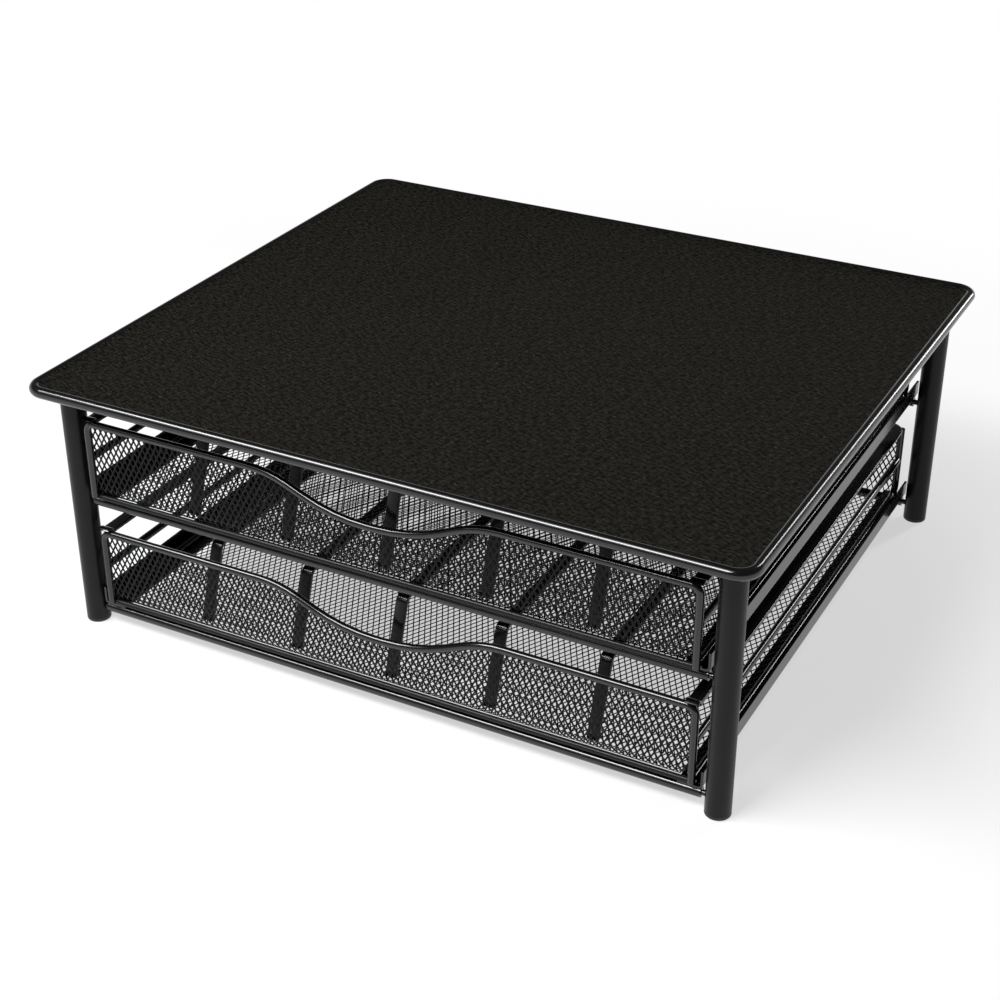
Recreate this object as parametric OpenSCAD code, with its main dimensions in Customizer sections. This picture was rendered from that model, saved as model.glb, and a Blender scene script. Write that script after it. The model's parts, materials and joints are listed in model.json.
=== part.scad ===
// Two-tier coffee pod drawer: a tabletop on four legs, with two mesh drawers
// that slide forward on angle tracks. Millimetres, +Z up, front at -Y,
// origin on the table under the middle of the tabletop.

/* [Tabletop] */
// Overall width of the tabletop, over its rim
top_w = 394; // [330:1:480]
// Overall depth of the tabletop, over its rim
top_d = 353; // [300:1:430]
// Overall height, from the table to the top of the rim
overall_h = 145; // [145:1:180]
// Diameter of the rim rod
rim_d = 6; // [5:0.5:8]
// Corner radius of the rim, at the middle of the rod
rim_corner = 9; // [8:1:30]
// Thickness of the tabletop sheet
sheet_t = 1.2; // [0.8:0.1:2]
// How far the sheet lies below the top of the rim
sheet_drop = 1; // [0.5:0.1:1.5]

/* [Legs] */
// Outer diameter of a leg tube
leg_d = 13; // [10:0.5:16]
// Wall of a leg tube
leg_wall = 1; // [0.8:0.1:1.5]
// From the side of the tabletop in to the middle of a leg
leg_inset_x = 16; // [14:1:24]
// From the front or back of the tabletop in to the middle of a leg
leg_inset_y = 20.5; // [14:0.5:28]
// Height of a foot cap below its tube
cap_h = 2; // [1.5:0.1:4]
// Length of the plug that holds a cap in its tube
cap_plug = 8; // [5:1:14]

/* [Tracks] */
// Height of the lower tracks above the table
track_low = 12; // [10:0.5:16]
// Height from one tier to the next
tier_pitch = 66; // [64:0.5:74]
// Height of a track's upright flange
track_h = 10; // [6:0.5:12]
// Width of a track's level flange
track_w = 13; // [9:0.5:18]
// Sheet thickness of a track
track_t = 1.2; // [0.8:0.1:1.6]
// Gap between a track and the legs
track_gap = 1; // [0.6:0.1:3]
// How far a track runs past the middle of a leg
track_past_leg = 2; // [0:0.5:4]
// Diameter of a cross rod
rod_d = 5.5; // [4:0.5:8]
// How far a cross rod stops short of the outside of the tracks
rod_short = 1; // [0:0.5:4]
// Diameter of the weld nub between a cross rod and a leg
nub_d = 3; // [2:0.1:4]

/* [Drawers] */
// Gap between a drawer and a track at each side
side_gap = 2.3; // [1:0.1:4]
// How far a drawer's front stands out past the middle of the front legs
front_past_leg = 5; // [0:0.5:8]
// How far a drawer's back stops short of the middle of the back legs
back_short = 1; // [0:0.5:12]
// How far the upper drawer stands open
upper_open = 3; // [0:0.5:20]
// Diameter of a drawer's wires
wire_d = 4; // [3:0.1:5]
// Diameter of the straight wire along the foot of a drawer's front
foot_d = 3; // [2:0.1:4]
// Height of the front wire's middle above the drawer's underside
wire_h = 44.5; // [40:0.5:48]
// Height of the side rail's middle above the drawer's underside
rail_h = 24.5; // [18:0.5:30]
// Bend radius of the front wire's top corners
front_bend = 4.5; // [4:0.5:14]
// Bend radius where the side wires turn up at the back
post_bend = 6; // [4:0.5:9]
// Height of the front wire's ends above the drawer's underside
toe_h = 1; // [0.5:0.5:4]
// Width of the strip that caps the sides and back
strip_w = 7; // [5:0.5:10]
// Thickness of that strip
strip_t = 2; // [1:0.1:2.5]
// Thickness of the lip that hooks the strip over the front wire
lip_t = 1.5; // [1:0.1:2]
// How far round the front wire the lip reaches, in degrees
lip_turn = 130; // [90:5:160]

/* [Handle dip] */
// Width of the dip at its shoulders
dip_w = 116; // [100:1:150]
// Width of the dip at its bottom
dip_base = 42; // [40:1:60]
// Depth of the dip
dip_depth = 16; // [8:0.5:20]
// Radius of the shoulders
dip_shoulder_r = 55; // [20:1:60]
// Radius of the bottom's corners
dip_base_r = 90; // [40:1:95]

/* [Mesh] */
// Thickness of the expanded mesh sheet
mesh_t = 1; // [0.8:0.1:1.5]
// Radius of the folds along the floor's front and back
fold_r = 9; // [6:0.5:12]
// Radius of the front panel's bottom corners
mesh_corner = 12; // [6:0.5:20]

/* [Dividers] */
// Number of dividers, one fewer than the rows of pods
dividers = 5; // [5:1:5]
// Spacing of the dividers
divider_pitch = 56.4; // [50:0.1:58]
// Width of a divider bar
divider_w = 6.5; // [4:0.5:9]
// Thickness of a divider bar
divider_t = 2.2; // [1.5:0.1:3]
// Height of a divider's run above the drawer's underside
divider_h = 40.5; // [34:0.5:43]
// From the drawer's front or back to the foot of a divider
divider_foot = 12.5; // [12.5:0.5:30]
// How far a divider leans in from its foot to its run
divider_lean = 13.5; // [0:0.5:18]
// Bend radius of a divider
divider_bend = 4; // [3:0.5:8]

/* [Fits] */
// Running clearance between a drawer and the level flanges
run_clear = 0.3; // [0.2:0.05:0.6]
// Hairline left between pieces that are welded to each other
hairline = 0.05; // [0.02:0.01:0.1]

/* [Hidden] */
$fn = 48;
arc_step = 6;
wire_sides = 20;
LEFT = -1;
RIGHT = 1;
FRONT = -1;
BACK = 1;
LOWER = 0;
UPPER = 1;

satin_black = [0.10, 0.10, 0.105];
gloss_black = [0.05, 0.05, 0.055];
top_black = [0.14, 0.13, 0.11];
mesh_black = [0.16, 0.16, 0.17];
cap_black = [0.04, 0.04, 0.04];

// tabletop
rim_x = top_w / 2 - rim_d / 2;
rim_y = top_d / 2 - rim_d / 2;
rim_z = overall_h - rim_d / 2;
sheet_top = overall_h - sheet_drop;
sheet_under = sheet_top - sheet_t;
sheet_inset = rim_d / 2 + hairline;

// legs
leg_x = top_w / 2 - leg_inset_x;
leg_y = top_d / 2 - leg_inset_y;

// tracks and cross rods
track_out = leg_x - leg_d / 2 - track_gap;
track_in = track_out - track_t;
track_len = 2 * (leg_y + track_past_leg);
track_bend = 1.5 * track_t;
rod_len = 2 * (track_out - rod_short);
rod_drop = rod_d / 2 + hairline;
nub_to_nub = 2 * (leg_x - leg_d / 2 - hairline);

// drawers, each in its own frame: y and z from the middle of its underside
drawer_half_w = track_in - side_gap;
drawer_d = 2 * leg_y + front_past_leg - back_short;
wire_x = drawer_half_w - wire_d / 2;
wire_y = drawer_d / 2 - wire_d / 2;
drawer_y = -(front_past_leg + back_short) / 2;
strip_z = wire_h + wire_d / 2 - strip_t;
strip_x = drawer_half_w - strip_w / 2;
strip_y = drawer_d / 2 - strip_w / 2;
strip_bend = strip_w / 2 + 2.5;
outline_half_w = wire_x - wire_d / 2 - hairline;
mesh_half_w = outline_half_w - hairline;
floor_top = mesh_t;
fold_z = mesh_t / 2 + fold_r;
fold_to_foot = fold_r + mesh_t / 2 + hairline + foot_d / 2;
foot_wire_y = -wire_y + fold_r - sqrt(pow(fold_to_foot, 2) - pow(fold_z - foot_d / 2, 2));
front_path = concat([[-wire_x, toe_h], [-wire_x, wire_h]], dip_path(),
                    [[wire_x, wire_h], [wire_x, toe_h]]);
front_radii = [0, front_bend, dip_shoulder_r, dip_base_r,
               dip_base_r, dip_shoulder_r, front_bend, 0];
function dip_path() = [[-dip_w / 2, wire_h],
                       [-dip_base / 2, wire_h - dip_depth],
                       [dip_base / 2, wire_h - dip_depth],
                       [dip_w / 2, wire_h]];

// ---- helpers ----

function unit(v) = v / norm(v);
function wrap(i, n) = (i + n) % n;
function at(list_or_number, i) = is_list(list_or_number) ? list_or_number[i] : list_or_number;

// One rounded corner of a path: [centre, entry, exit, radius], for the corner at b
// between a and c
function corner(a, b, c, r) =
    let (u = unit(a - b), v = unit(c - b), half = acos(u * v) / 2, run = r / tan(half))
    [b + unit(u + v) * r / sin(half), b + u * run, b + v * run, r];

// A bar of constant section, its 2D child, along a path in the XY plane with
// rounded corners. The section's x lies across the path and its y along Z.
module bent_bar(path, radii, closed = false) {
    n = len(path);
    turns = [for (i = [0 : n - 1])
        !closed && (i == 0 || i == n - 1)
            ? [path[i], path[i], path[i], 0]
            : corner(path[wrap(i - 1, n)], path[i], path[wrap(i + 1, n)], at(radii, i))];
    for (i = [0 : closed ? n - 1 : n - 2])
        straight_bar(turns[i][2], turns[wrap(i + 1, n)][1]) children();
    for (t = turns)
        if (t[3] > 0)
            curved_bar(t[0], t[1], t[2], t[3]) children();
}

module straight_bar(from, to) {
    d = to - from;
    if (norm(d) > 0.01)
        translate([from[0], from[1], 0])
            rotate([0, 0, atan2(d[1], d[0])])
                rotate([90, 0, 90])
                    linear_extrude(norm(d)) children();
}

module curved_bar(centre, from, to, r) {
    a = atan2(from[1] - centre[1], from[0] - centre[0]);
    b = atan2(to[1] - centre[1], to[0] - centre[0]);
    sweep = (b - a + 540) % 360 - 180;
    translate([centre[0], centre[1], 0])
        rotate([0, 0, sweep > 0 ? a : b])
            rotate_extrude(angle = abs(sweep))
                translate([r, 0]) children();
}

// The points of a path with rounded corners, each with the direction it runs in
function path_points(path, radii) =
    let (n = len(path))
    [for (i = [0 : n - 1]) each
        i == 0 ? [[path[0], unit(path[1] - path[0])]]
        : i == n - 1 ? [[path[i], unit(path[i] - path[i - 1])]]
        : arc_points(corner(path[i - 1], path[i], path[i + 1], radii[i]))];

function arc_points(turn) =
    let (from = turn[1] - turn[0],
         to = turn[2] - turn[0],
         a = atan2(from[1], from[0]),
         sweep = (atan2(to[1], to[0]) - a + 540) % 360 - 180,
         steps = ceil(abs(sweep) / arc_step))
    [for (i = [0 : steps])
        let (t = a + sweep * i / steps)
        [turn[0] + turn[3] * [cos(t), sin(t)], sign(sweep) * [-sin(t), cos(t)]]];

// A point to the left of the path, or to its right where off is negative
function beside(p, off) = p[0] + off * [-p[1][1], p[1][0]];
function both_sides(points, off) =
    concat([for (p = points) beside(p, off)],
           [for (i = [len(points) - 1 : -1 : 0]) beside(points[i], -off)]);

// A flat bar, thin across the path and wide along Z
module flat_bar(path, radii, thick, wide)
    linear_extrude(wide, center = true)
        polygon(both_sides(path_points(path, radii), thick / 2));

// A round wire with flat ends
module round_wire(path, radii, d, sides) {
    points = path_points(path, radii);
    last = len(points) - 1;
    polyhedron(
        points = [for (p = points, k = [0 : sides - 1])
            concat(beside(p, d / 2 * cos(360 * k / sides)), d / 2 * sin(360 * k / sides))],
        faces = concat(
            [[for (k = [0 : sides - 1]) k]],
            [[for (k = [sides - 1 : -1 : 0]) last * sides + k]],
            [for (i = [0 : last - 1], k = [0 : sides - 1])
                let (here = i * sides, next = here + sides, up = (k + 1) % sides)
                each [[here + k, next + k, next + up], [here + k, next + up, here + up]]]));
}

// Lays what is drawn in XY into an upright plane
module facing_front() rotate([90, 0, 0]) children();
module facing_side() rotate([90, 0, 90]) children();

module rod_along_x(d, len) rotate([0, 90, 0]) cylinder(d = d, h = len, center = true);
module rod_along_y(d, len) rotate([90, 0, 0]) cylinder(d = d, h = len, center = true);

function track_z(tier) = track_low + tier * tier_pitch;

// Puts a drawer's piece where that tier's drawer is
module in_drawer(tier)
    translate([0, drawer_y - tier * upper_open, track_z(tier) + track_t + run_clear])
        children();

// ---- frame ----

module rounded_rectangle(x, y, r) {
    square([2 * (x - r), 2 * y], center = true);
    square([2 * x, 2 * (y - r)], center = true);
    for (i = [-1, 1], j = [-1, 1])
        translate([i * (x - r), j * (y - r)]) circle(r);
}

module top_panel()
    color(top_black)
        translate([0, 0, sheet_under])
            linear_extrude(sheet_t)
                rounded_rectangle(rim_x - sheet_inset, rim_y - sheet_inset,
                                  rim_corner - sheet_inset);

module rim_rod()
    color(gloss_black)
        translate([0, 0, rim_z])
            bent_bar([[-rim_x, -rim_y], [rim_x, -rim_y], [rim_x, rim_y], [-rim_x, rim_y]],
                     rim_corner, closed = true)
                circle(d = rim_d);

module leg(x_side, y_side)
    color(satin_black)
        translate([x_side * leg_x, y_side * leg_y, cap_h])
            difference() {
                cylinder(d = leg_d, h = sheet_under - cap_h);
                translate([0, 0, -1])
                    cylinder(d = leg_d - 2 * leg_wall, h = sheet_under - cap_h + 2);
            }

// A plastic plug cap with a rounded lower edge
module foot(x_side, y_side) {
    round_r = cap_h / 2;
    color(cap_black)
        translate([x_side * leg_x, y_side * leg_y, 0]) {
            rotate_extrude() {
                square([leg_d / 2 - round_r, cap_h]);
                translate([0, round_r]) square([leg_d / 2, cap_h - round_r]);
                translate([leg_d / 2 - round_r, round_r]) circle(round_r);
            }
            cylinder(d = leg_d - 2 * leg_wall - 2 * hairline, h = cap_h + cap_plug);
        }
}

// An angle track: an upright flange outside, and a level one that a drawer runs on
module track(x_side, tier)
    color(satin_black)
        translate([0, 0, track_z(tier)])
            mirror([x_side == LEFT ? 1 : 0, 0, 0])
                facing_front()
                    bent_bar([[track_out - track_t / 2, track_h],
                              [track_out - track_t / 2, track_t / 2],
                              [track_out - track_w, track_t / 2]], track_bend)
                        square([track_t, track_len], center = true);

// A cross rod under the tracks, with a weld nub to the leg at each end
module cross_rod(y_side, tier)
    color(satin_black)
        translate([0, y_side * leg_y, track_z(tier) - rod_drop]) {
            rod_along_x(rod_d, rod_len);
            rod_along_x(nub_d, nub_to_nub);
        }

// ---- drawers ----

// The wire round the front: a dip for the fingers, and two uprights
module front_wire(tier)
    color(satin_black)
        in_drawer(tier)
            translate([0, -wire_y, 0])
                facing_front()
                    round_wire(front_path, front_radii, wire_d, wire_sides);

// The straight wire along the foot of the front, seated against the mesh's fold
module foot_wire(tier)
    color(satin_black)
        in_drawer(tier)
            translate([0, foot_wire_y, foot_d / 2])
                rod_along_x(foot_d, 2 * outline_half_w);

// The wire along the foot of one side, from the front wire's upright to the back,
// where it turns up as a post under the strip
module side_wire(x_side, tier)
    color(satin_black)
        in_drawer(tier)
            translate([x_side * wire_x, 0, 0])
                facing_side()
                    bent_bar([[-wire_y + wire_d / 2 + hairline, wire_d / 2],
                              [wire_y, wire_d / 2], [wire_y, strip_z - hairline]], post_bend)
                        circle(d = wire_d);

module rail(x_side, tier)
    color(satin_black)
        in_drawer(tier)
            translate([x_side * wire_x, 0, rail_h])
                rod_along_y(wire_d, 2 * wire_y - wire_d - 2 * hairline);

// The flat strip round the sides and back, hooked over the front wire by two lips
module strip(tier)
    color(satin_black)
        in_drawer(tier) {
            front_end = -wire_y + wire_d / 2 + hairline;
            translate([0, 0, strip_z + strip_t / 2])
                bent_bar([[-strip_x, front_end], [-strip_x, strip_y],
                          [strip_x, strip_y], [strip_x, front_end]], strip_bend)
                    square([strip_w, strip_t], center = true);
            for (x_side = [LEFT, RIGHT])
                translate([x_side * strip_x - strip_w / 2, -wire_y, wire_h])
                    facing_side()
                        rotate_extrude(angle = lip_turn)
                            translate([wire_d / 2 + hairline, 0])
                                square([lip_t, strip_w]);
        }

// One mesh sheet folded up at the front and back, cut to the front wire's dip
module mesh_tray(tier)
    color(mesh_black)
        in_drawer(tier)
            difference() {
                facing_side()
                    bent_bar([[-wire_y, wire_h], [-wire_y, mesh_t / 2], [wire_y, mesh_t / 2],
                              [wire_y, strip_z - hairline]], fold_r)
                        square([mesh_t, 2 * mesh_half_w], center = true);
                translate([0, -wire_y + fold_r, 0])
                    facing_front()
                        linear_extrude(2 * fold_r)
                            difference() {
                                square([4 * wire_x, 4 * wire_h], center = true);
                                polygon(front_outline());
                            }
            }

// The front panel's outline: under the front wire all round, with its bottom
// corners rounded off
function front_outline() =
    concat([for (p = path_points(front_path, front_radii))
                beside(p, -wire_d / 2 - hairline)],
           [for (p = path_points([[outline_half_w, wire_h / 2],
                                  [outline_half_w, -hairline],
                                  [-outline_half_w, -hairline],
                                  [-outline_half_w, wire_h / 2]],
                                 [0, mesh_corner, mesh_corner, 0]))
                p[0]]);

// A flat bar bent into a low hoop, standing on the floor
module divider(index, tier) {
    foot_y = drawer_d / 2 - divider_foot;
    run_y = foot_y - divider_lean;
    below = 2 * divider_t;
    slope = divider_lean / (divider_h - floor_top);
    toe_y = foot_y + slope * below;
    color(satin_black)
        in_drawer(tier)
            translate([(index - (dividers + 1) / 2) * divider_pitch, 0, 0])
                difference() {
                    facing_side()
                        flat_bar([[-toe_y, floor_top - below], [-run_y, divider_h],
                                  [run_y, divider_h], [toe_y, floor_top - below]],
                                 [0, divider_bend, divider_bend, 0], divider_t, divider_w);
                    translate([-divider_w, -drawer_d / 2, floor_top - 3 * below])
                        cube([2 * divider_w, drawer_d, 3 * below]);
                }
}

top_panel();
rim_rod();
leg(LEFT, FRONT);  // leg_front_left
leg(RIGHT, FRONT);  // leg_front_right
leg(LEFT, BACK);  // leg_back_left
leg(RIGHT, BACK);  // leg_back_right
foot(LEFT, FRONT);  // foot_front_left
foot(RIGHT, FRONT);  // foot_front_right
foot(LEFT, BACK);  // foot_back_left
foot(RIGHT, BACK);  // foot_back_right
track(LEFT, LOWER);  // track_lower_left
track(RIGHT, LOWER);  // track_lower_right
track(LEFT, UPPER);  // track_upper_left
track(RIGHT, UPPER);  // track_upper_right
cross_rod(FRONT, LOWER);  // rod_lower_front
cross_rod(BACK, LOWER);  // rod_lower_back
cross_rod(FRONT, UPPER);  // rod_upper_front
cross_rod(BACK, UPPER);  // rod_upper_back
front_wire(LOWER);  // lower_front_wire
foot_wire(LOWER);  // lower_foot_wire
side_wire(LEFT, LOWER);  // lower_side_wire_left
side_wire(RIGHT, LOWER);  // lower_side_wire_right
rail(LEFT, LOWER);  // lower_rail_left
rail(RIGHT, LOWER);  // lower_rail_right
strip(LOWER);  // lower_strip
mesh_tray(LOWER);  // lower_mesh_tray
divider(1, LOWER);  // lower_divider_1
divider(2, LOWER);  // lower_divider_2
divider(3, LOWER);  // lower_divider_3
divider(4, LOWER);  // lower_divider_4
divider(5, LOWER);  // lower_divider_5
front_wire(UPPER);  // upper_front_wire
foot_wire(UPPER);  // upper_foot_wire
side_wire(LEFT, UPPER);  // upper_side_wire_left
side_wire(RIGHT, UPPER);  // upper_side_wire_right
rail(LEFT, UPPER);  // upper_rail_left
rail(RIGHT, UPPER);  // upper_rail_right
strip(UPPER);  // upper_strip
mesh_tray(UPPER);  // upper_mesh_tray
divider(1, UPPER);  // upper_divider_1
divider(2, UPPER);  // upper_divider_2
divider(3, UPPER);  // upper_divider_3
divider(4, UPPER);  // upper_divider_4
divider(5, UPPER);  // upper_divider_5
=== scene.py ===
"""A black two-tier coffee pod drawer: its finishes, its expanded mesh and its bent
wires and bars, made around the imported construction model."""
import json
import math

import bpy
from mathutils import Matrix, Vector

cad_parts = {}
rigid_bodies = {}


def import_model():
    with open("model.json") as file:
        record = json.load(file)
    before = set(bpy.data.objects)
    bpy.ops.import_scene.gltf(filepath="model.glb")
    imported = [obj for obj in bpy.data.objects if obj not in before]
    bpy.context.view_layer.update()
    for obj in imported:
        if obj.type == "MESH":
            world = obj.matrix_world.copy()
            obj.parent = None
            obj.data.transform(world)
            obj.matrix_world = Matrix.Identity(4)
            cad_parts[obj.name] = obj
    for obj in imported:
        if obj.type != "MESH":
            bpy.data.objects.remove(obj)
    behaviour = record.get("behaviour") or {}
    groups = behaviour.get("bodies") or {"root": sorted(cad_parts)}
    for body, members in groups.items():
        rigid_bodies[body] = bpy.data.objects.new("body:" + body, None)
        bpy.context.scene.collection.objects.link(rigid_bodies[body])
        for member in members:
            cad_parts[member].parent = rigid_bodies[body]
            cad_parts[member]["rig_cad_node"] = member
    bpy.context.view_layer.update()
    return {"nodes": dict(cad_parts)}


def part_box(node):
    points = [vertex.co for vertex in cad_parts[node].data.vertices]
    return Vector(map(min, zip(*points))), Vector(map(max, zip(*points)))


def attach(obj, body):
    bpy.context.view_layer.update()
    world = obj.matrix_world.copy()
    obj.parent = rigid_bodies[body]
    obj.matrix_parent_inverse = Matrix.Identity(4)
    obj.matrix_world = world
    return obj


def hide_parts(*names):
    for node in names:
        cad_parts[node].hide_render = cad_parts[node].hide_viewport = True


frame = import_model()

bl_info = {
    "name": "Coffee pod drawer",
    "version": (1, 0, 0),
    "blender": (4, 5, 0),
    "location": "3D View > Sidebar > Pod drawer",
    "description": "Builds the looks of a two-tier mesh drawer for coffee pods",
    "category": "Add Mesh",
}

MM = 0.001
TIERS = ("lower", "upper")
SIDES = {"left": -1, "right": 1}
ENDS = ("front", "back")
DIVIDERS = 5
HAIRLINE = 0.05 * MM        # left between pieces that are welded together
TINY = 0.001 * MM           # points nearer than this are one point
WIRE_SIDES = 24
WIRE_END_R = 1.1 * MM
BAR_EDGE_R = 0.5 * MM
ARC_STEP = math.radians(6)
WAVE_PERIOD = 0.314         # from crest to crest of a wave texture at scale 1
UPRIGHT_ALONG = (Vector((0, 1, 0)), Vector((0, 0, 1)))
UPRIGHT_ACROSS = (Vector((1, 0, 0)), Vector((0, 0, 1)))
LEVEL = (Vector((1, 0, 0)), Vector((0, 1, 0)))


# ---------------------------------------------------------------- settings

def size(name, description, millimetres):
    return bpy.props.FloatProperty(name=name, description=description, min=0,
                                   default=millimetres * MM, subtype="DISTANCE",
                                   unit="LENGTH", precision=4)


def colour(name, description, default):
    return bpy.props.FloatVectorProperty(name=name, description=description, size=3,
                                         default=default, subtype="COLOR", min=0, max=1)


class PodDrawerWires(bpy.types.PropertyGroup):
    """Sizes of the bent wires and bars"""
    wire_d: size("Wire", "Diameter of a drawer's wires", 4)
    front_bend: size("Corner bend", "Bend radius of the front wire's top corners", 4.5)
    toe_h: size("Toe height", "Height of the front wire's ends", 1)
    dip_w: size("Dip width", "Width of the finger dip at its shoulders", 116)
    dip_base: size("Dip base", "Width of the finger dip at its bottom", 42)
    dip_depth: size("Dip depth", "Depth of the finger dip", 16)
    dip_shoulder_r: size("Shoulder radius", "Radius of the dip's shoulders", 55)
    dip_base_r: size("Base radius", "Radius of the dip's bottom corners", 90)
    strip_w: size("Strip width", "Width of the strip round the sides and back", 7)
    strip_t: size("Strip thickness", "Thickness of that strip", 2)
    lip_t: size("Lip thickness", "Thickness of the lip over the front wire", 1.5)
    divider_w: size("Divider width", "Width of a divider bar", 6.5)
    divider_t: size("Divider thickness", "Thickness of a divider bar", 2.2)
    divider_bend: size("Divider bend", "Bend radius of a divider", 4)
    divider_foot: size("Divider foot", "From the drawer's end to a divider's foot", 12.5)
    divider_lean: size("Divider lean", "How far a divider leans in to its run", 13.5)
    rim_bend: size("Rim bend", "Corner radius of the rim at the middle of its rod", 9)


class PodDrawerMesh(bpy.types.PropertyGroup):
    """Sizes of the expanded mesh"""
    cell_w: size("Cell width", "Short diagonal of a diamond", 3.45)
    cell_l: size("Cell length", "Long diagonal of a diamond", 6.35)
    strand: size("Strand", "Width of a strand in the floor", 0.68)
    strand_t: size("Strand thickness", "Thickness of a strand in the floor", 0.42)
    swell: size("Swell", "How much thicker the upright panels' strands are", 0.3)
    sheet_t: size("Sheet", "Thickness of the sheet", 1)
    fold_r: size("Fold radius", "Radius of the folds at the floor's front and back", 9)
    corner_r: size("Corner radius", "Radius of the front panel's bottom corners", 12)


class PodDrawerColours(bpy.types.PropertyGroup):
    """Colours of the finishes"""
    satin: colour("Satin coat", "Coat of the legs and foot wires", (0.005, 0.0052, 0.0056))
    gloss: colour("Gloss coat", "Coat of the rim, tracks, rods, wires and bars",
                  (0.0025, 0.0025, 0.003))
    top: colour("Top coat", "Textured coat of the tabletop", (0.0062, 0.0056, 0.0043))
    mesh: colour("Mesh coat", "Coat of the expanded mesh", (0.003, 0.003, 0.0035))
    plastic: colour("Plastic", "Moulded plastic of the foot caps", (0.005, 0.005, 0.005))


class PodDrawerStage(bpy.types.PropertyGroup):
    """The camera and the light"""
    camera_at: bpy.props.FloatVectorProperty(
        name="Camera", description="Where the camera stands", size=3,
        default=(0.40965, -0.8079, 0.55243), subtype="XYZ", unit="LENGTH")
    camera_turn: bpy.props.FloatVectorProperty(
        name="Turn", description="How the camera is turned", size=3,
        default=(1.058, 0.0, 0.485), subtype="EULER", unit="ROTATION")
    lens: bpy.props.FloatProperty(
        name="Lens", description="Focal length in millimetres on a 36 mm sensor",
        default=66.8, min=1, unit="CAMERA")
    ceiling: bpy.props.FloatProperty(
        name="Ceiling", description="Brightness of the room above the pale horizon",
        default=0.08, min=0, subtype="FACTOR")
    floor_glow: bpy.props.FloatProperty(
        name="Floor glow", description="How much of the shadow under the drawer is lit away",
        default=0.58, min=0, max=1, subtype="FACTOR")
    floor: colour("Floor", "Colour of the pale floor", (0.93, 0.93, 0.93))


# ---------------------------------------------------------------- shader maths

class Value:
    """A shader socket that Python's arithmetic works on"""

    def __init__(self, tree, socket):
        self.tree = tree
        self.socket = socket

    def math(self, operation, first, second, clamp=False):
        node = self.tree.nodes.new("ShaderNodeMath")
        node.operation = operation
        node.use_clamp = clamp
        for slot, value in zip(node.inputs, (first, second)):
            if isinstance(value, Value):
                self.tree.links.new(value.socket, slot)
            else:
                slot.default_value = value
        return Value(self.tree, node.outputs[0])

    def __add__(self, other):
        return self.math("ADD", self, other)

    __radd__ = __add__

    def __sub__(self, other):
        return self.math("SUBTRACT", self, other)

    def __rsub__(self, other):
        return self.math("SUBTRACT", other, self)

    def __mul__(self, other):
        return self.math("MULTIPLY", self, other)

    __rmul__ = __mul__

    def clamped(self):
        """The value held between 0 and 1"""
        return self.math("ADD", self, 0.0, clamp=True)


class Finish:
    """A material or world being made from nodes"""

    def __init__(self, owner):
        owner.use_nodes = True
        self.tree = owner.node_tree
        self.tree.nodes.clear()

    def node(self, kind, settings=None, output=None, **sockets):
        """Adds a node, its settings first, and gives the output of that name, or its
        first. An input is named with _ for its spaces"""
        node = self.tree.nodes.new(kind)
        for key, value in (settings or {}).items():
            setattr(node, key, value)
        for key, value in sockets.items():
            slot = next(s for s in node.inputs
                        if s.enabled and s.name.replace(" ", "_") == key)
            if isinstance(value, Value):
                self.tree.links.new(value.socket, slot)
            else:
                slot.default_value = value
        outputs = {s.name: s for s in node.outputs if s.enabled}
        return Value(self.tree, outputs.get(output) or next(iter(outputs.values()), None))

    def place(self, stretch=(1, 1, 1), turn=0.0):
        """A point of the object, for a pattern turned about Z and drawn out that many
        times along its own axes"""
        return self.node("ShaderNodeMapping", {"vector_type": "TEXTURE"},
                         Scale=stretch, Rotation=(0, 0, turn),
                         Vector=self.node("ShaderNodeTexCoord", output="Object"))

    def noise(self, lump, detail=3.0, roughness=0.5, place=None):
        """Noise from 0 to 1, in lumps of about that many metres"""
        return self.node("ShaderNodeTexNoise", Vector=place or self.place(),
                         Scale=1 / lump, Detail=detail, Roughness=roughness)

    def blend(self, factor, first, second):
        """Runs from one colour to another as the factor goes from 0 to 1"""
        colours = {key: value if isinstance(value, Value) else (*value, 1)
                   for key, value in (("A", first), ("B", second))}
        return self.node("ShaderNodeMix", {"data_type": "RGBA"}, Factor=factor, **colours)

    def bump(self, height, depth):
        """A normal from a height from 0 to 1 that stands for that many metres"""
        return self.node("ShaderNodeBump", Height=height, Distance=depth, Strength=1.0)

    def painted(self, **sockets):
        """Ends in a Principled shader"""
        shader = self.node("ShaderNodeBsdfPrincipled", **sockets)
        self.node("ShaderNodeOutputMaterial", Surface=shader)


def darker(colour, share):
    return tuple(channel * share for channel in colour)


# ---------------------------------------------------------------- finishes

def satin_coat(f, colour):
    """Powder coat of the legs and foot wires: fine grain and a little orange peel"""
    grain = f.noise(0.5 * MM, detail=2.0)
    peel = f.noise(1.6 * MM, detail=1.0)
    cloud = f.noise(30 * MM)
    f.painted(Base_Color=f.blend(cloud, darker(colour, 0.85), darker(colour, 1.25)),
              Roughness=grain * 0.1 + cloud * 0.08 + 0.25, Specular_IOR_Level=0.22,
              Normal=f.bump(grain * 0.6 + peel * 0.4, 0.02 * MM))


def gloss_coat(f, colour):
    """Smooth coat of the rim, tracks, rods, wires and bars: a little duller in patches"""
    patch = f.noise(6 * MM, detail=4.0)
    cloud = f.noise(25 * MM)
    f.painted(Base_Color=f.blend(cloud, darker(colour, 0.8), darker(colour, 1.3)),
              Roughness=cloud * 0.05 + patch * 0.05 + 0.11, Specular_IOR_Level=0.65)


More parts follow.
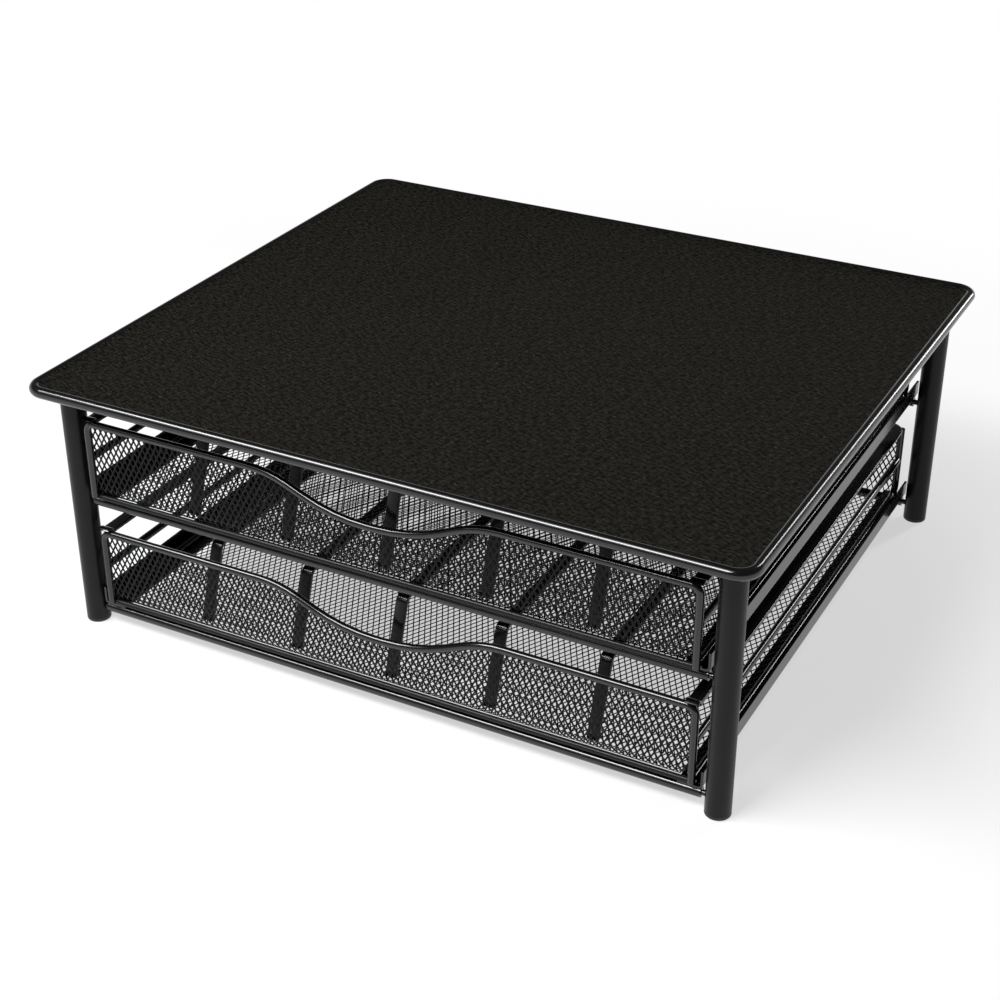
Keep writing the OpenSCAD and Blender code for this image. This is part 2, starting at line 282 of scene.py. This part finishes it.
def textured_coat(f, colour):
    """The tabletop's coat: rows of short raised grains that lie aslant. Its colour is
    lighter on the crests and near black in the hollows, which is painted light and
    shade, and pale specks on the crests are painted glints"""
    row_pitch = 3.1 * MM
    aslant = f.place(stretch=(2.4, 1.0, 1.0), turn=math.radians(-19))
    grain = ((f.noise(1.5 * MM, detail=1.0, place=aslant) - 0.5) * 6 + 0.5).clamped()
    rows = f.node("ShaderNodeTexWave", {"bands_direction": "X"}, output="Fac",
                  Vector=f.place(turn=math.radians(-12)), Scale=WAVE_PERIOD / row_pitch,
                  Distortion=1.2, Detail=1.0)
    # pale specks whose colour is painted glints on the grains' crests; the bump raises them a
    # little too
    painted_glint_speck = ((f.noise(1.2 * MM, detail=1.0, place=aslant) - 0.62) * 9).clamped()
    cloud = f.noise(45 * MM, detail=4.0)
    # how high the grain stands sets the colour: painted light on the crests and painted shade in
    # the hollows, with some tone at random from the cloud
    crest_light_and_shade = (grain * 0.68 + rows * 0.2 + cloud * 0.12).clamped()
    base = f.blend(crest_light_and_shade, darker(colour, 0.03), darker(colour, 2.5))
    # the colour runs from near black to light with that height (painted shade and light), then
    # to pale at the specks (painted glints)
    f.painted(Base_Color=f.blend(painted_glint_speck, base, darker(colour, 5.0)),
              Roughness=grain * 0.15 + 0.5, Specular_IOR_Level=0.03,
              Normal=f.bump(grain * 0.75 + rows * 0.15 + painted_glint_speck * 0.1, 0.2 * MM))


def mesh_coat(f, colour):
    """Semi-gloss coat on the strands of the mesh"""
    cloud = f.noise(12 * MM)
    run = f.noise(0.8 * MM, detail=1.0)
    f.painted(Base_Color=f.blend(cloud, darker(colour, 0.8), darker(colour, 1.3)),
              Roughness=cloud * 0.1 + 0.2, Specular_IOR_Level=0.13,
              Normal=f.bump(run, 0.02 * MM))


def cap_plastic(f, colour):
    """Moulded plastic of the foot caps, lightly scuffed"""
    grain = f.noise(0.4 * MM, detail=2.0)
    scuff = f.noise(4 * MM, detail=5.0, roughness=0.7)
    f.painted(Base_Color=f.blend(scuff, darker(colour, 0.8), darker(colour, 1.6)),
              Roughness=grain * 0.1 + 0.5,
              Normal=f.bump(grain, 0.03 * MM))


FINISHES = {
    "satin_black_coat": (satin_coat, "satin", "satin_black_metal"),
    "gloss_black_coat": (gloss_coat, "gloss", "gloss_black_metal"),
    "textured_black_coat": (textured_coat, "top", "textured_black_top"),
    "black_mesh_coat": (mesh_coat, "mesh", "black_mesh"),
    "black_cap_plastic": (cap_plastic, "plastic", "black_plastic"),
}


def finish(piece, name):
    """Gives a piece, or a node of the construction model, one of the finishes"""
    make, colour_name, slot = FINISHES[name]
    material = bpy.data.materials.get(name)
    if material is None:
        material = bpy.data.materials.new(name)
        make(Finish(material), getattr(bpy.context.scene.pod_drawer_colours, colour_name))
    piece.data.materials.clear()
    piece.data.materials.append(material)
    "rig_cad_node" not in piece


def finish_nodes(name, *nodes):
    for node in nodes:
        finish(frame["nodes"][node], name)


def place_piece(piece, name, body, *replaced):
    """Finishes a new piece, which rides on a body and stands for CAD nodes"""
    finish(piece, name)
    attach(piece, body)
    if replaced:
        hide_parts(*replaced)


# ---------------------------------------------------------------- where the drawers are

class Drawer:
    """One tier's drawer, measured from the construction model. Its points are from
    the middle of its underside"""

    def __init__(self, tier):
        wires = bpy.context.scene.pod_drawer_wires
        self.tier = tier
        self.body = tier + "_drawer"
        front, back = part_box(tier + "_front_wire"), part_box(tier + "_strip")
        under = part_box(tier + "_mesh_tray")[0].z
        self.origin = Vector((0, (back[1].y + front[0].y) / 2, under))
        self.half_w = front[1].x
        self.half_d = (back[1].y - front[0].y) / 2
        self.wire_x = self.half_w - wires.wire_d / 2
        self.wire_y = self.half_d - wires.wire_d / 2
        self.wire_h = front[1].z - under - wires.wire_d / 2
        self.strip_z = self.wire_h + wires.wire_d / 2 - wires.strip_t
        self.hoop_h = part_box(tier + "_divider_1")[1].z - under - wires.divider_t / 2

    def node(self, name):
        return f"{self.tier}_{name}"

    def front_path(self):
        """The front wire's line seen from the front, and the radius of each corner"""
        wires = bpy.context.scene.pod_drawer_wires
        low = self.wire_h - wires.dip_depth
        half = [(self.wire_x, wires.toe_h), (self.wire_x, self.wire_h),
                (wires.dip_w / 2, self.wire_h), (wires.dip_base / 2, low)]
        radii = [0, wires.front_bend, wires.dip_shoulder_r, wires.dip_base_r]
        return [(-x, z) for x, z in half] + half[::-1], radii + radii[::-1]


# ---------------------------------------------------------------- modelling

def deselect():
    bpy.ops.object.select_all(action="DESELECT")


def activate(piece):
    deselect()
    piece.select_set(True)
    bpy.context.view_layer.objects.active = piece


def settle(piece):
    """Puts the piece's place and turn into its mesh"""
    activate(piece)
    bpy.ops.object.transform_apply(location=True, rotation=True, scale=True)
    return piece


def apply_modifiers(piece):
    activate(piece)
    for modifier in list(piece.modifiers):
        bpy.ops.object.modifier_apply(modifier=modifier.name)


def copied(piece, name, move):
    """A copy with its own mesh, moved from where the first one is"""
    twin = piece.copy()
    twin.data = piece.data.copy()
    twin.name = name
    bpy.context.scene.collection.objects.link(twin)
    twin.location = move
    return settle(twin)


def joined(pieces, name):
    deselect()
    for piece in pieces:
        piece.select_set(True)
    bpy.context.view_layer.objects.active = pieces[0]
    bpy.ops.object.join()
    pieces[0].name = name
    return pieces[0]


def smooth(piece, degrees=35):
    activate(piece)
    bpy.ops.object.shade_smooth_by_angle(angle=math.radians(degrees))


def edit(piece, chosen=None):
    """Opens a piece in edit mode with the faces chosen by a test selected, or all"""
    if bpy.context.mode != "OBJECT":
        leave_edit()
    activate(piece)
    bpy.ops.object.mode_set(mode="EDIT")
    bpy.ops.mesh.select_mode(type="FACE")
    bpy.ops.mesh.select_all(action="SELECT")
    if chosen:
        bpy.ops.mesh.select_all(action="DESELECT")
        bpy.ops.object.mode_set(mode="OBJECT")
        for face in piece.data.polygons:
            face.select = chosen(face)
        bpy.ops.object.mode_set(mode="EDIT")


def leave_edit():
    bpy.ops.object.mode_set(mode="OBJECT")


def corner(before, here, after, radius):
    """Centre, start and end of the arc that rounds one corner of a path"""
    u = (before - here).normalized()
    v = (after - here).normalized()
    half = u.angle(v) / 2
    run = radius / math.tan(half)
    return here + (u + v).normalized() * radius / math.sin(half), here + u * run, here + v * run


def round_profile(diameter, at, turn):
    """A wire's profile, at the start of its path"""
    deselect()
    bpy.ops.mesh.primitive_circle_add(vertices=WIRE_SIDES, radius=diameter / 2,
                                      fill_type="NGON", location=at, rotation=turn)


def flat_profile(thick, wide, at, turn):
    """A flat bar's profile with rounded edges: thick across its path, wide off it"""
    deselect()
    bpy.ops.mesh.primitive_plane_add(size=1, location=at, rotation=turn)
    bpy.context.object.scale = (thick, wide, 1)
    settle(bpy.context.object)
    bpy.ops.object.mode_set(mode="EDIT")
    bpy.ops.mesh.select_all(action="SELECT")
    bpy.ops.mesh.bevel(offset=BAR_EDGE_R, offset_pct=0, segments=3, affect="VERTICES")
    leave_edit()


def bent(name, profile, plane, path, radii):
    """Extrudes and spins a profile along a flat path with rounded corners. The profile
    is a function of the path's start and the turn that faces along it"""
    first, second = plane
    normal = first.cross(second)
    points = [first * a + second * b for a, b in path]
    way = (points[1] - points[0]).normalized()
    turn = Matrix((normal.cross(way), normal, way)).transposed().to_euler()
    profile(points[0], turn)
    piece = settle(bpy.context.object)
    piece.name = name
    bpy.ops.object.mode_set(mode="EDIT")
    bpy.ops.mesh.select_all(action="SELECT")
    here = points[0]
    for index in range(1, len(points)):
        last = index == len(points) - 1
        if last:
            start = points[index]
        else:
            centre, start, end = corner(*points[index - 1:index + 2], radii[index])
        if (start - here).length > TINY:
            bpy.ops.mesh.extrude_region_move(TRANSFORM_OT_translate={"value": start - here})
        if not last:
            arm, reach = start - centre, end - centre
            sweep = arm.angle(reach)
            left = arm.cross(reach).dot(normal) > 0
            # spin turns clockwise about its axis
            bpy.ops.mesh.spin(steps=max(3, math.ceil(sweep / ARC_STEP)), angle=sweep,
                              center=centre, axis=-normal if left else normal)
            here = end
    bpy.ops.mesh.select_all(action="SELECT")
    bpy.ops.mesh.remove_doubles(threshold=TINY)
    bpy.ops.mesh.normals_make_consistent(inside=False)
    leave_edit()
    return piece


def wire(name, diameter, plane, path, radii):
    """A round wire along a path, its two ends rounded off"""
    piece = bent(name, lambda at, turn: round_profile(diameter, at, turn),
                 plane, path, radii)
    edit(piece, lambda face: len(face.vertices) == WIRE_SIDES)
    bpy.ops.mesh.bevel(offset=WIRE_END_R, offset_type="OFFSET", segments=4, affect="EDGES")
    leave_edit()
    return piece


def flat_bar(name, thick, wide, plane, path, radii):
    """A flat bar along a path, its ends cut straight off"""
    return bent(name, lambda at, turn: flat_profile(thick, wide, at, turn),
                plane, path, radii)


# ---------------------------------------------------------------- expanded mesh

def family(name, across, along, side):
    """Half of a sheet's strands, side by side, all leaning to one side"""
    mesh = bpy.context.scene.pod_drawer_mesh
    lean = math.atan2(mesh.cell_w, mesh.cell_l)
    spread = across + along * math.tan(lean)
    overshoot = 1.05    # each strand passes the sheet's edges, which are cut later
    deselect()
    bpy.ops.mesh.primitive_cylinder_add(
        vertices=6, radius=mesh.strand / 2, depth=overshoot * along / math.cos(lean),
        end_fill_type="NOTHING", location=(-spread / 2, 0, 0),
        rotation=(math.pi / 2, 0, side * lean))
    piece = settle(bpy.context.object)
    piece.name = name
    edit(piece)
    bpy.ops.transform.resize(value=(1, 1, mesh.strand_t / mesh.strand),
                             center_override=(0, 0, 0))
    leave_edit()
    repeat = piece.modifiers.new("side_by_side", "ARRAY")
    repeat.use_relative_offset = False
    repeat.use_constant_offset = True
    repeat.constant_offset_displace = (mesh.cell_w, 0, 0)
    repeat.count = math.ceil(spread / mesh.cell_w) + 1
    apply_modifiers(piece)
    return piece


def diamonds(name, across, along, ribs):
    """A flat sheet of crossing strands, cut off straight at its edges, and divided
    across at the ribs so that it can be folded there"""
    piece = joined([family(name, across, along, side) for side in (-1, 1)], name)
    edit(piece)
    for side, reach in (((1, 0, 0), across), ((-1, 0, 0), across),
                        ((0, 1, 0), along), ((0, -1, 0), along)):
        bpy.ops.mesh.select_all(action="SELECT")
        bpy.ops.mesh.bisect(plane_co=Vector(side) * reach / 2, plane_no=side,
                            clear_outer=True)
    for rib in ribs:
        bpy.ops.mesh.select_all(action="SELECT")
        bpy.ops.mesh.bisect(plane_co=(0, rib, 0), plane_no=(0, 1, 0))
    leave_edit()
    return piece


class Fold:
    """The profile that the tray's sheet is folded to, from the middle of its floor"""

    def __init__(self, drawer):
        mesh = bpy.context.scene.pod_drawer_mesh
        self.r = mesh.fold_r
        self.level = drawer.wire_y - self.r
        self.arc = self.r * math.pi / 2
        self.mid = mesh.sheet_t / 2

    def length_to(self, height):
        """How far along the sheet that height is"""
        return self.level + self.arc + height - self.mid - self.r

    def point(self, run, off):
        """The (y, z) of a point that far along the sheet, to the front if negative,
        and that far off its middle"""
        past = abs(run) - self.level
        if past <= 0:
            return run, self.mid + off
        angle = min(past, self.arc) / self.r
        out = self.level + (self.r - off) * math.sin(angle)
        rise = self.mid + self.r - (self.r - off) * math.cos(angle)
        return math.copysign(out, run), rise + max(0, past - self.arc)


def under_wire(drawer):
    """The front panel's top edge, as (x, z) points from left to right"""
    wires = bpy.context.scene.pod_drawer_wires
    path, radii = drawer.front_path()
    points = [Vector((x, z, 0)) for x, z in path]
    steps = 12
    line = []
    for index in range(1, len(points) - 1):
        centre, start, end = corner(*points[index - 1:index + 2], radii[index])
        arm, reach = start - centre, end - centre
        outward = arm.cross(reach).z < 0
        radius = arm.length - (wires.wire_d / 2 + HAIRLINE) * (1 if outward else -1)
        for step in range(steps + 1):
            line.append(centre + arm.slerp(reach, step / steps).normalized() * radius)
    return [(p.x, p.y) for p in line]


def height_at(line, x):
    """The line's height at x"""
    for (x0, z0), (x1, z1) in zip(line, line[1:]):
        if x <= x1:
            return z0 + (z1 - z0) * max(0, x - x0) / max(x1 - x0, 1e-9)
    return line[-1][1]


def mesh_tray(drawer):
    """The tray's one sheet: its floor, and its front and back folded up"""
    mesh = bpy.context.scene.pod_drawer_mesh
    wires = bpy.context.scene.pod_drawer_wires
    fold = Fold(drawer)
    half_w = drawer.wire_x - wires.wire_d / 2 - 2 * HAIRLINE
    front = fold.length_to(drawer.wire_h - wires.wire_d / 2 - HAIRLINE)
    back = fold.length_to(drawer.strip_z - HAIRLINE)
    shift = (back - front) / 2
    fold_steps, panel_ribs, rib_pitch = 6, 14, 2.5 * MM
    near = 0.01 * MM
    upright_from = fold.r * 0.7
    bends = [fold.level + fold.arc * step / fold_steps for step in range(fold_steps + 1)]
    panel = [bends[-1] + rib_pitch * step for step in range(1, panel_ribs + 1)]
    ribs = [run - shift for run in (*bends, *(-run for run in (*bends, *panel)))]
    piece = diamonds("mesh_model", 2 * half_w, front + back, ribs)
    edge = under_wire(drawer)

    def inside(x, z):
        """The nearest point of the front panel's outline, for a point beyond it"""
        z = min(z, height_at(edge, x))
        rise = max(0, mesh.corner_r - z)
        reach = half_w - mesh.corner_r + math.sqrt(max(0, mesh.corner_r ** 2 - rise ** 2))
        return max(-reach, min(reach, x)), z

    beyond = set()
    for vertex in piece.data.vertices:
        x, run = vertex.co.x, vertex.co.y + shift
        y, z = fold.point(run, vertex.co.z)
        # the rib where the fold starts is still the floor's, and isn't cut to the panel
        if run < -fold.level - near:
            held = inside(x, z)
            if abs(held[0] - x) + abs(held[1] - z) > near:
                beyond.add(vertex.index)
            x, z = held
        vertex.co = (x, y, z)
    edit(piece, lambda face: all(v in beyond for v in face.vertices))
    bpy.ops.mesh.delete(type="FACE")
    bpy.ops.mesh.select_all(action="SELECT")
    bpy.ops.mesh.fill_holes(sides=16)
    bpy.ops.mesh.normals_make_consistent(inside=False)
    edit(piece, lambda face: face.center.z > upright_from)
    bpy.ops.transform.shrink_fatten(value=mesh.swell / 2)
    leave_edit()
    smooth(piece, 65)
    return piece


# ---------------------------------------------------------------- operators

class POD_OT_stage(bpy.types.Operator):
    """Pale floor, soft light and the camera"""
    bl_idname = "pod_drawer.stage"
    bl_label = "Stage"

    # each lamp's name, place, aim, width and height, and watts
    softboxes = (
        ("front_softbox", (-0.55, -0.85, 1.3), (-0.1, 0, 0.1), (1.2, 1.1), 8),
        ("front_strip", (-0.52, -0.8, 1.22), (-0.1, 0, 0.1), (1.15, 0.32), 25),
        ("back_softbox", (0.62, 1.25, 0.88), (0, 0, 0.1), (0.12, 1.1), 7),
    )

    def execute(self, context):
        stage = context.scene.pod_drawer_stage
        self.floor(stage)
        self.room(context, stage)
        for softbox in self.softboxes:
            self.softbox(*softbox)
        bpy.ops.object.camera_add(location=stage.camera_at, rotation=stage.camera_turn)
        camera = context.object
        camera.name = "photo_camera"
        camera.data.lens = stage.lens
        camera.data.sensor_width = 36
        context.scene.camera = camera
        context.scene.view_settings.view_transform = "Standard"
        return {"FINISHED"}

    def floor(self, stage):
        """A table that glows white far off, and near the drawer lets its shadow show"""
        lit_beyond, fade = 0.22, 2.4
        deselect()
        bpy.ops.mesh.primitive_plane_add(size=120)
        floor = bpy.context.object
        floor.name = "pale_floor"
        material = bpy.data.materials.new("pale_floor")
        f = Finish(material)
        cloud = f.noise(0.4)
        matt = f.node("ShaderNodeBsdfDiffuse",
                      Color=f.blend(cloud, darker(stage.floor, 0.995), stage.floor))
        white = f.node("ShaderNodeEmission", Color=(1, 1, 1, 1), Strength=1.0)
        rays = [f.node("ShaderNodeLightPath", output=name)
                for name in ("Is Camera Ray", "Is Glossy Ray", "Is Transmission Ray")]
        distance = f.node("ShaderNodeVectorMath", {"operation": "LENGTH"}, output="Value",
                          Vector=f.place())
        away = ((distance - lit_beyond) * fade).clamped()
        seen = (rays[0] + rays[1] + rays[2]) * (away * (1 - stage.floor_glow) + stage.floor_glow)
        shown = f.node("ShaderNodeMixShader", Fac=seen)
        f.tree.links.new(matt.socket, shown.socket.node.inputs[1])
        f.tree.links.new(white.socket, shown.socket.node.inputs[2])
        f.node("ShaderNodeOutputMaterial", Surface=shown)
        floor.data.materials.append(material)

    def room(self, context, stage):
        """A pale backdrop round the horizon, dim in front, under a dim ceiling"""
        band_top, fade, pale = 0.08, 4.5, 0.95
        world = bpy.data.worlds.new("studio_room")
        context.scene.world = world
        f = Finish(world)
        way = f.node("ShaderNodeTexCoord", output="Generated")
        x, y, height = (f.node("ShaderNodeSeparateXYZ", output=axis, Vector=way)
                        for axis in "XYZ")
        backdrop = (y * 0.56 - x * 0.35 + 0.75).clamped()
        band = (1 - ((height - band_top) * fade).clamped()) * backdrop
        glow = f.node("ShaderNodeBackground", Color=(1, 1, 1, 1),
                      Strength=band * (pale - stage.ceiling) + stage.ceiling)
        f.node("ShaderNodeOutputWorld", Surface=glow)

    def softbox(self, name, at, towards, spread, power):
        bpy.ops.object.light_add(type="AREA", location=at)
        lamp = bpy.context.object
        lamp.name = name
        lamp.rotation_euler = (Vector(towards) - Vector(at)).to_track_quat("-Z", "Y").to_euler()
        lamp.data.shape = "RECTANGLE"
        lamp.data.size, lamp.data.size_y = spread
        lamp.data.energy = power


class POD_OT_tabletop(bpy.types.Operator):
    """The tabletop's sheet, which laps up against the rim, and the rim's gloss"""
    bl_idname = "pod_drawer.tabletop"
    bl_label = "Tabletop"

    lap = 1.9 * MM      # from the middle line of the rim's rod in to the sheet's edge
    # how far in and down each step goes, from the sheet's raised edge to its flat top
    cove = ((0.5 * MM, 0.18 * MM), (0.6 * MM, 0.12 * MM))

    def execute(self, context):
        finish_nodes("gloss_black_coat", "rim_rod")
        sheet = self.sheet(context.scene.pod_drawer_wires)
        place_piece(sheet, "textured_black_coat", "frame", "top_panel")
        return {"FINISHED"}

    def sheet(self, wires):
        """The sheet, its corners rounded inside the rim's, its top raised at the edge"""
        low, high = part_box("top_panel")
        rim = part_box("rim_rod")
        rod_r = (rim[1].z - rim[0].z) / 2
        rise = high.z - low.z + sum(down for _, down in self.cove)
        across, deep = ((rim[1][i] - rim[0][i]) - 2 * rod_r - 2 * self.lap for i in (0, 1))
        deselect()
        bpy.ops.mesh.primitive_plane_add(size=1, location=(0, 0, low.z))
        sheet = bpy.context.object
        sheet.name = "tabletop_sheet"
        sheet.scale = (across, deep, 1)
        settle(sheet)
        edit(sheet)
        bpy.ops.mesh.bevel(offset=wires.rim_bend - self.lap, offset_pct=0, segments=10,
                           affect="VERTICES")
        bpy.ops.mesh.select_all(action="SELECT")
        bpy.ops.mesh.extrude_region_move(TRANSFORM_OT_translate={"value": (0, 0, rise)})
        for inward, down in self.cove:
            bpy.ops.mesh.inset(thickness=inward)
            bpy.ops.transform.translate(value=(0, 0, -down))
        bpy.ops.mesh.select_all(action="SELECT")
        bpy.ops.mesh.normals_make_consistent(inside=False)
        leave_edit()
        smooth(sheet)
        return sheet


class POD_OT_frame(bpy.types.Operator):
    """The legs, tracks and cross rods"""
    bl_idname = "pod_drawer.frame"
    bl_label = "Legs, tracks and rods"

    def execute(self, context):
        for end in ENDS:
            finish_nodes("gloss_black_coat", "rod_lower_" + end, "rod_upper_" + end)
            finish_nodes("satin_black_coat", *(f"leg_{end}_{side}" for side in SIDES))
        for tier in TIERS:
            finish_nodes("gloss_black_coat", *(f"track_{tier}_{side}" for side in SIDES))
        return {"FINISHED"}


class POD_OT_feet(bpy.types.Operator):
    """The moulded caps under the legs, each with a hollow underneath"""
    bl_idname = "pod_drawer.feet"
    bl_label = "Foot caps"

    edge_r = 0.9 * MM
    sole_w = 1.6 * MM       # the flat ring round the hollow
    hollow = 0.5 * MM
    plug_step = 1.05 * MM   # in from the cap's rim: the tube's wall and a hairline

    def execute(self, context):
        model = self.cap()
        for end in ENDS:
            for side in SIDES:
                node = f"foot_{end}_{side}"
                low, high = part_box(node)
                middle = Vector(((low.x + high.x) / 2, (low.y + high.y) / 2, low.z))
                cap = copied(model, f"cap_{end}_{side}", middle)
                place_piece(cap, "black_cap_plastic", "frame", node)
        bpy.data.objects.remove(model)
        return {"FINISHED"}

    def cap(self):
        """One cap: a rim under the tube, rounded and hollow below, and a plug in it"""
        low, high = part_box("foot_front_left")
        tube_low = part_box("leg_front_left")[0].z
        rim_h = tube_low - low.z
        deselect()
        bpy.ops.mesh.primitive_cylinder_add(vertices=48, radius=(high.x - low.x) / 2,
                                            depth=rim_h, location=(0, 0, rim_h / 2))
        cap = settle(bpy.context.object)
        cap.name = "cap_model"
        edit(cap, lambda face: face.normal.z < -0.9)
        bpy.ops.mesh.bevel(offset=self.edge_r, segments=4, affect="EDGES")
        edit(cap, lambda face: face.normal.z < -0.99)
        bpy.ops.mesh.inset(thickness=self.sole_w)
        bpy.ops.mesh.extrude_region_move(TRANSFORM_OT_translate={"value": (0, 0, self.hollow)})
        edit(cap, lambda face: face.normal.z > 0.99 and face.center.z > rim_h * 0.9)
        bpy.ops.mesh.inset(thickness=self.plug_step)
        bpy.ops.mesh.extrude_region_move(
            TRANSFORM_OT_translate={"value": (0, 0, high.z - tube_low)})
        leave_edit()
        smooth(cap)
        return cap


class POD_OT_front_wires(bpy.types.Operator):
    """The wire round each drawer's front, with its dip for the fingers"""
    bl_idname = "pod_drawer.front_wires"
    bl_label = "Front wires"

    def execute(self, context):
        diameter = context.scene.pod_drawer_wires.wire_d
        for drawer in map(Drawer, TIERS):
            piece = wire(drawer.node("front_wire_bent"), diameter, UPRIGHT_ACROSS,
                         *drawer.front_path())
            piece.location = drawer.origin + Vector((0, -drawer.wire_y, 0))
            settle(piece)
            smooth(piece)
            place_piece(piece, "gloss_black_coat", drawer.body, drawer.node("front_wire"))
        return {"FINISHED"}


class POD_OT_straight_wires(bpy.types.Operator):
    """The foot wire, side wires and rails of each drawer"""
    bl_idname = "pod_drawer.straight_wires"
    bl_label = "Foot wires and rails"

    def execute(self, context):
        for tier in TIERS:
            finish_nodes("satin_black_coat", f"{tier}_foot_wire")
            for side in SIDES:
                finish_nodes("gloss_black_coat", f"{tier}_rail_{side}",
                             f"{tier}_side_wire_{side}")
        return {"FINISHED"}


class POD_OT_strips(bpy.types.Operator):
    """The flat strip round each drawer's sides and back, hooked over the front wire"""
    bl_idname = "pod_drawer.strips"
    bl_label = "Strips"

    inner_bend = 2.5 * MM
    lip_turn = math.radians(130)

    def execute(self, context):
        wires = context.scene.pod_drawer_wires
        for drawer in map(Drawer, TIERS):
            x = drawer.half_w - wires.strip_w / 2
            y = drawer.half_d - wires.strip_w / 2
            front = -drawer.wire_y + wires.wire_d / 2 + HAIRLINE
            bend = wires.strip_w / 2 + self.inner_bend
            bar = flat_bar(drawer.node("strip_bent"), wires.strip_w, wires.strip_t, LEVEL,
                           [(-x, front), (-x, y), (x, y), (x, front)], [0, bend, bend, 0])
            bar.location.z = drawer.strip_z + wires.strip_t / 2
            lips = [self.lip(drawer, wires, SIDES[side] * x) for side in SIDES]
            piece = joined([settle(bar), *lips], drawer.node("strip_bent"))
            piece.location = drawer.origin
            settle(piece)
            smooth(piece)
            place_piece(piece, "gloss_black_coat", drawer.body, drawer.node("strip"))
        return {"FINISHED"}

    def lip(self, drawer, wires, x):
        """The curl of the strip's end over the front wire"""
        middle = wires.wire_d / 2 + HAIRLINE + wires.lip_t / 2
        run = middle / math.tan((math.pi - self.lip_turn) / 2)
        start = Vector((-drawer.wire_y + middle, drawer.wire_h))
        peak = start + Vector((0, run))
        way = math.pi / 2 + self.lip_turn
        end = peak + run * Vector((math.cos(way), math.sin(way)))
        lip = flat_bar("lip", wires.lip_t, wires.strip_w, UPRIGHT_ALONG,
                       [tuple(start), tuple(peak), tuple(end)], [0, middle, 0])
        lip.location.x = x
        return settle(lip)


class POD_OT_mesh(bpy.types.Operator):
    """The expanded mesh of each drawer's tray"""
    bl_idname = "pod_drawer.mesh"
    bl_label = "Mesh"

    def execute(self, context):
        model = mesh_tray(Drawer("lower"))
        for drawer in map(Drawer, TIERS):
            sheet = copied(model, drawer.node("mesh_sheet"), drawer.origin)
            place_piece(sheet, "black_mesh_coat", drawer.body, drawer.node("mesh_tray"))
        bpy.data.objects.remove(model)
        return {"FINISHED"}


class POD_OT_dividers(bpy.types.Operator):
    """The flat bars bent into low hoops that part the rows of pods"""
    bl_idname = "pod_drawer.dividers"
    bl_label = "Dividers"

    def execute(self, context):
        model = self.hoop(context.scene.pod_drawer_wires, Drawer("lower"))
        for drawer in map(Drawer, TIERS):
            for number in range(1, DIVIDERS + 1):
                low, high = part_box(drawer.node(f"divider_{number}"))
                move = drawer.origin + Vector(((low.x + high.x) / 2, 0, 0))
                hoop = copied(model, drawer.node(f"hoop_{number}"), move)
                place_piece(hoop, "gloss_black_coat", drawer.body,
                            drawer.node(f"divider_{number}"))
        bpy.data.objects.remove(model)
        return {"FINISHED"}

    def hoop(self, wires, drawer):
        """One divider, its legs cut off level where they stand on the mesh"""
        floor_top = bpy.context.scene.pod_drawer_mesh.sheet_t
        foot = drawer.half_d - wires.divider_foot
        run = foot - wires.divider_lean
        below = 2 * wires.divider_t
        toe = foot + wires.divider_lean / (drawer.hoop_h - floor_top) * below
        hoop = flat_bar("hoop_model", wires.divider_t, wires.divider_w, UPRIGHT_ALONG,
                        [(-toe, floor_top - below), (-run, drawer.hoop_h),
                         (run, drawer.hoop_h), (toe, floor_top - below)],
                        [0, wires.divider_bend, wires.divider_bend, 0])
        edit(hoop)
        bpy.ops.mesh.bisect(plane_co=(0, 0, floor_top), plane_no=(0, 0, -1),
                            clear_outer=True, use_fill=True)
        leave_edit()
        smooth(hoop)
        return hoop


OPERATORS = (POD_OT_stage, POD_OT_tabletop, POD_OT_frame, POD_OT_feet,
             POD_OT_front_wires, POD_OT_straight_wires, POD_OT_strips, POD_OT_mesh,
             POD_OT_dividers)


class POD_PT_drawer(bpy.types.Panel):
    """Lists the steps that build the pod drawer, and its sizes and colours"""
    bl_idname = "POD_PT_drawer"
    bl_label = "Coffee pod drawer"
    bl_space_type = "VIEW_3D"
    bl_region_type = "UI"
    bl_category = "Pod drawer"

    def draw(self, context):
        steps = self.layout.column(align=True)
        for operator in OPERATORS:
            steps.operator(operator.bl_idname)
        for name in GROUPS:
            settings = getattr(context.scene, name)
            box = self.layout.box()
            for key in settings.bl_rna.properties.keys():
                if key not in {"rna_type", "name"}:
                    box.prop(settings, key)


GROUPS = {
    "pod_drawer_wires": PodDrawerWires,
    "pod_drawer_mesh": PodDrawerMesh,
    "pod_drawer_colours": PodDrawerColours,
    "pod_drawer_stage": PodDrawerStage,
}


def register():
    for name, group in GROUPS.items():
        bpy.utils.register_class(group)
        setattr(bpy.types.Scene, name, bpy.props.PointerProperty(type=group))
    for cls in (*OPERATORS, POD_PT_drawer):
        bpy.utils.register_class(cls)


def unregister():
    for cls in (POD_PT_drawer, *reversed(OPERATORS)):
        bpy.utils.unregister_class(cls)
    for name, group in GROUPS.items():
        delattr(bpy.types.Scene, name)
        bpy.utils.unregister_class(group)


def main():
    register()
    for operator in OPERATORS:
        group, name = operator.bl_idname.split(".")
        getattr(getattr(bpy.ops, group), name)()


if __name__ == "__main__":
    main()
